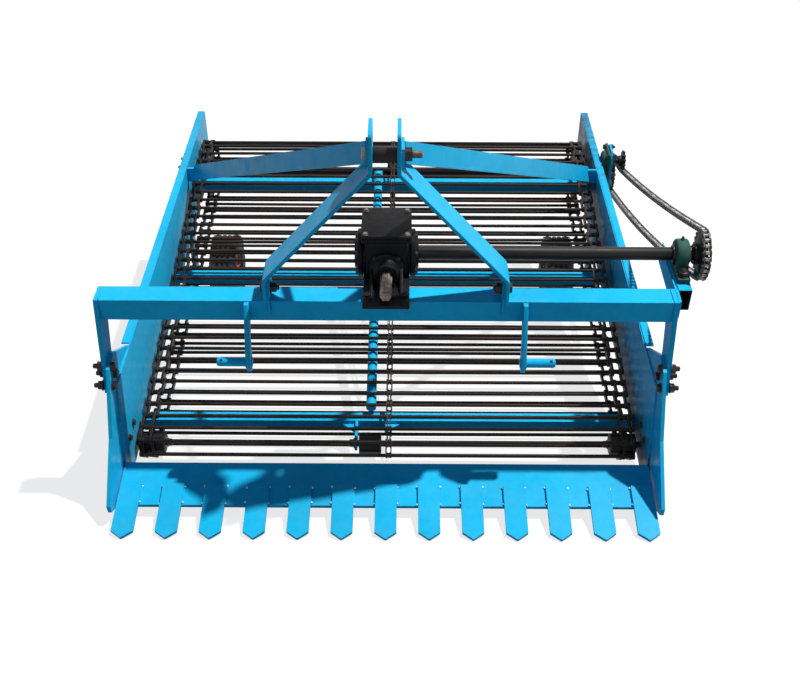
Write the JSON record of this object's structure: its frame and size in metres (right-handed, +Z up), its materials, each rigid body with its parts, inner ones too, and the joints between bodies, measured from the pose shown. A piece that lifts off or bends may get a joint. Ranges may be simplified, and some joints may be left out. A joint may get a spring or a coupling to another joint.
{
  "type": "potato digger",
  "caption": "Wide tractor-mounted potato digger: fingered share, rod-link digging web between side plates, gearbox and chain drive, and two small ground wheels.",
  "frame": {"origin": "centre of the bounding box on the ground", "axes": "+X to the machine's chain-drive side, +Y to the rear discharge end, +Z up; the hitch and the share point to -Y"},
  "size_m": [1.852, 2.107, 1.2093],
  "materials": {
    "blue_paint": "bright blue enamel, worn and dusty, stained grey beside the web",
    "gearbox_paint": "black painted casting",
    "dark_steel": "oily blackened steel with rust marks",
    "bare_steel": "bare steel with light rust",
    "bearing_paint": "dark green painted casting",
    "tyre": "matt black rubber",
    "rim_paint": "red enamel"
  },
  "bodies": {
    "wheel_left": {"tyre_left": "tyre", "rim_left": "rim_paint"},
    "wheel_right": {"tyre_right": "tyre", "rim_right": "rim_paint"},
    "cross_drive": {"cross_shaft": "dark_steel"},
    "pto_drive": {"pto_shaft": "bare_steel"},
    "frame": {"cross_beam": "blue_paint", "end_post_right": "blue_paint", "end_post_left": "blue_paint", "side_sheet_right": "blue_paint", "side_sheet_left": "blue_paint", "cheek_right": "blue_paint", "cheek_left": "blue_paint", "digging_share": "blue_paint", "mast_bar_right": "blue_paint", "mast_bar_left": "blue_paint", "mast_lug_right": "blue_paint", "mast_lug_left": "blue_paint", "mast_spacer": "dark_steel", "rear_brace_right": "blue_paint", "rear_brace_left": "blue_paint", "hitch_arm_right": "blue_paint", "hitch_arm_left": "blue_paint", "gearbox": "gearbox_paint", "bearing_bracket": "blue_paint", "bearing_stub": "blue_paint", "pillow_block": "bearing_paint", "web_shaft": "dark_steel", "web_bearing_bracket_right": "blue_paint", "web_bearing_bracket_left": "blue_paint", "web_bearing_right": "bearing_paint", "web_bearing_left": "bearing_paint", "drive_chain": "dark_steel", "tensioner_bracket": "blue_paint", "tensioner_bearing": "bearing_paint", "tensioner": "dark_steel", "web_upper_run": "dark_steel", "web_rear_turn": "dark_steel", "web_lower_run": "dark_steel", "web_front_turn": "dark_steel", "cross_tube_front": "blue_paint", "cross_tube_middle": "blue_paint", "cross_tube_rear": "blue_paint", "centre_rail": "blue_paint", "idler_right": "dark_steel", "idler_left": "dark_steel", "idler_middle": "dark_steel", "wheel_leg_right": "blue_paint", "wheel_leg_left": "blue_paint"}
  },
  "joints": [
    {"name": "cross_shaft_spin", "type": "hinge", "parent": "frame", "child": "cross_drive", "pos_m": [0.912, -0.61757, 0.74363], "axis": [1, 0, 0], "continuous": true},
    {"name": "pto_shaft_spin", "type": "hinge", "parent": "frame", "child": "pto_drive", "pos_m": [-0.029, -0.79415, 0.70873], "axis": [0, 0.981, 0.1939], "continuous": true},
    {"name": "wheel_left_spin", "type": "hinge", "parent": "frame", "child": "wheel_left", "pos_m": [-0.729, 0.58229, 0.15], "axis": [1, 0, 0], "continuous": true},
    {"name": "wheel_right_spin", "type": "hinge", "parent": "frame", "child": "wheel_right", "pos_m": [0.671, 0.58229, 0.15], "axis": [1, 0, 0], "continuous": true}
  ],
  "couplings": [
    {"joint": "pto_shaft_spin", "follows": "cross_shaft_spin", "ratio": 1}
  ]
}
